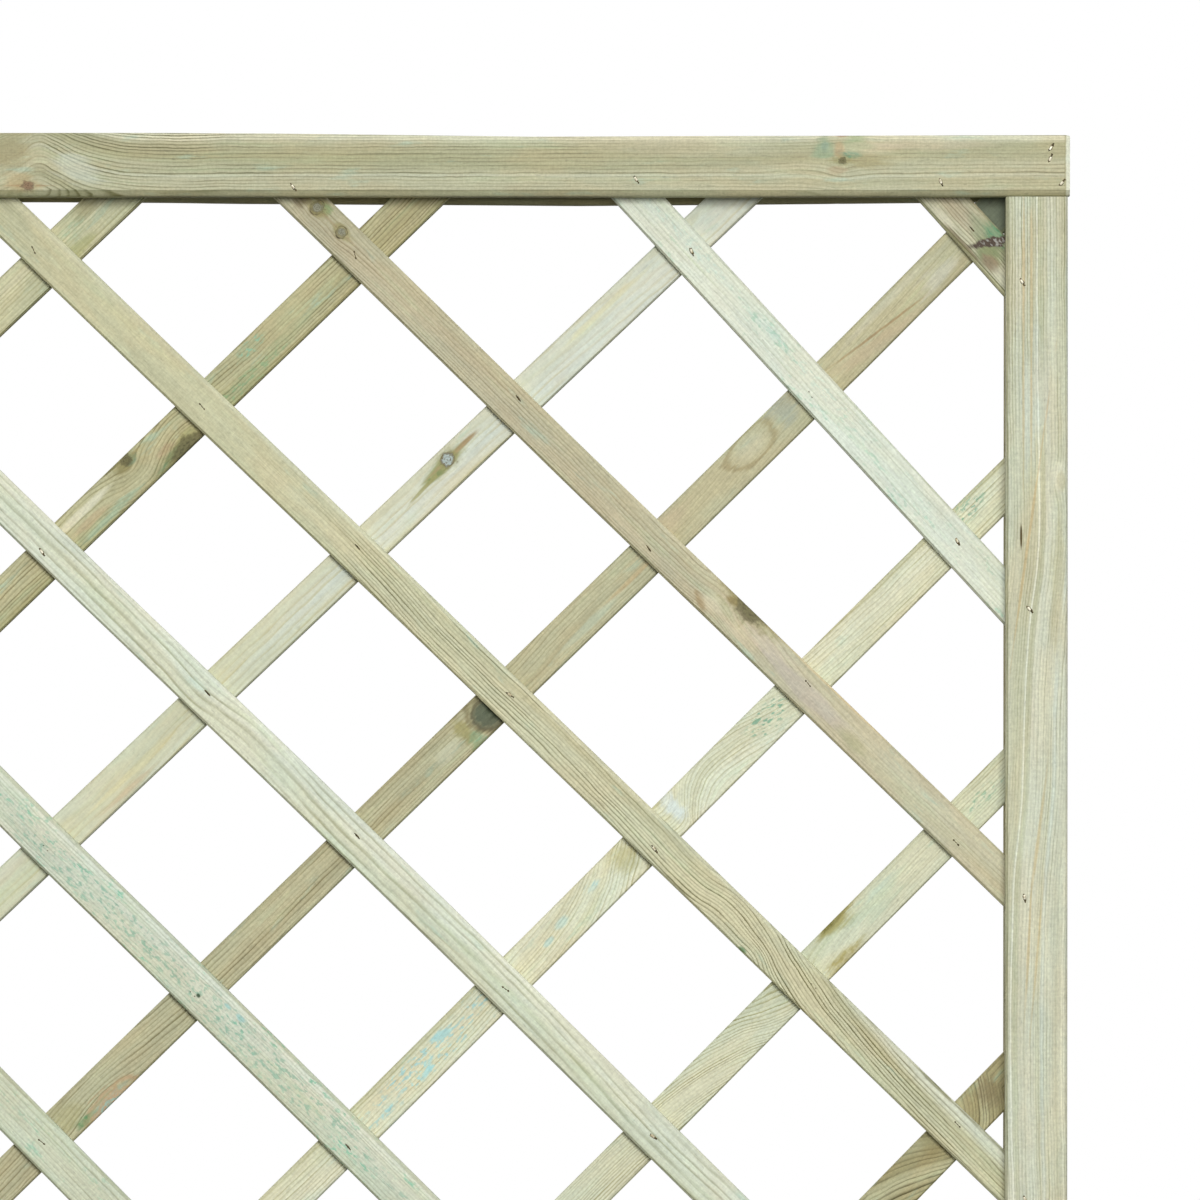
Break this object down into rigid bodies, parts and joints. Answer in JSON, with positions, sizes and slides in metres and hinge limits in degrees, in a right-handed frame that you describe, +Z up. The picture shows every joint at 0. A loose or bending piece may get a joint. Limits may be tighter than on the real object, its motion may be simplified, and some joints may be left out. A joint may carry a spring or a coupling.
{
  "type": "wooden trellis",
  "caption": "Square framed trellis panel: two layers of crossed diagonal softwood slats held between a front and a back batten frame, for screens and climbing plants.",
  "frame": {"origin": "middle of the bottom edge, at mid depth", "axes": "+X to the panel's right seen from the front, +Y through the panel to its back, +Z up"},
  "size_m": [1.83, 0.053, 1.83],
  "materials": {
    "frame_timber": "planed pressure-treated softwood, matte, pale green-grey",
    "front_slat_timber": "sawn pressure-treated softwood, matte, pale green-grey to tan",
    "back_slat_timber": "sawn pressure-treated softwood, matte, pale green-grey to tan",
    "staple_wire": "galvanised wire, satin"
  },
  "bodies": {
    "root": {"front_top_rail": "frame_timber", "front_bottom_rail": "frame_timber", "front_left_stile": "frame_timber", "front_right_stile": "frame_timber", "back_top_rail": "frame_timber", "back_bottom_rail": "frame_timber", "back_left_stile": "frame_timber", "back_right_stile": "frame_timber", "front_slat_01": "front_slat_timber", "front_slat_02": "front_slat_timber", "front_slat_03": "front_slat_timber", "front_slat_04": "front_slat_timber", "front_slat_05": "front_slat_timber", "front_slat_06": "front_slat_timber", "front_slat_07": "front_slat_timber", "front_slat_08": "front_slat_timber", "front_slat_09": "front_slat_timber", "front_slat_10": "front_slat_timber", "front_slat_11": "front_slat_timber", "front_slat_12": "front_slat_timber", "front_slat_13": "front_slat_timber", "front_slat_14": "front_slat_timber", "front_slat_15": "front_slat_timber", "front_slat_16": "front_slat_timber", "front_slat_17": "front_slat_timber", "back_slat_01": "back_slat_timber", "back_slat_02": "back_slat_timber", "back_slat_03": "back_slat_timber", "back_slat_04": "back_slat_timber", "back_slat_05": "back_slat_timber", "back_slat_06": "back_slat_timber", "back_slat_07": "back_slat_timber", "back_slat_08": "back_slat_timber", "back_slat_09": "back_slat_timber", "back_slat_10": "back_slat_timber", "back_slat_11": "back_slat_timber", "back_slat_12": "back_slat_timber", "back_slat_13": "back_slat_timber", "back_slat_14": "back_slat_timber", "back_slat_15": "back_slat_timber", "back_slat_16": "back_slat_timber", "back_slat_17": "back_slat_timber", "staple_top_left_1": "staple_wire", "staple_top_left_2": "staple_wire", "staple_top_left_3": "staple_wire", "staple_top_right_1": "staple_wire", "staple_top_right_2": "staple_wire", "staple_top_right_3": "staple_wire", "staple_bottom_left_1": "staple_wire", "staple_bottom_left_2": "staple_wire", "staple_bottom_left_3": "staple_wire", "staple_bottom_right_1": "staple_wire", "staple_bottom_right_2": "staple_wire", "staple_bottom_right_3": "staple_wire", "staple_top_rail_1": "staple_wire", "staple_top_rail_2": "staple_wire", "staple_top_rail_3": "staple_wire", "staple_right_stile_1": "staple_wire", "staple_right_stile_2": "staple_wire", "staple_right_stile_3": "staple_wire"}
  },
  "joints": []
}
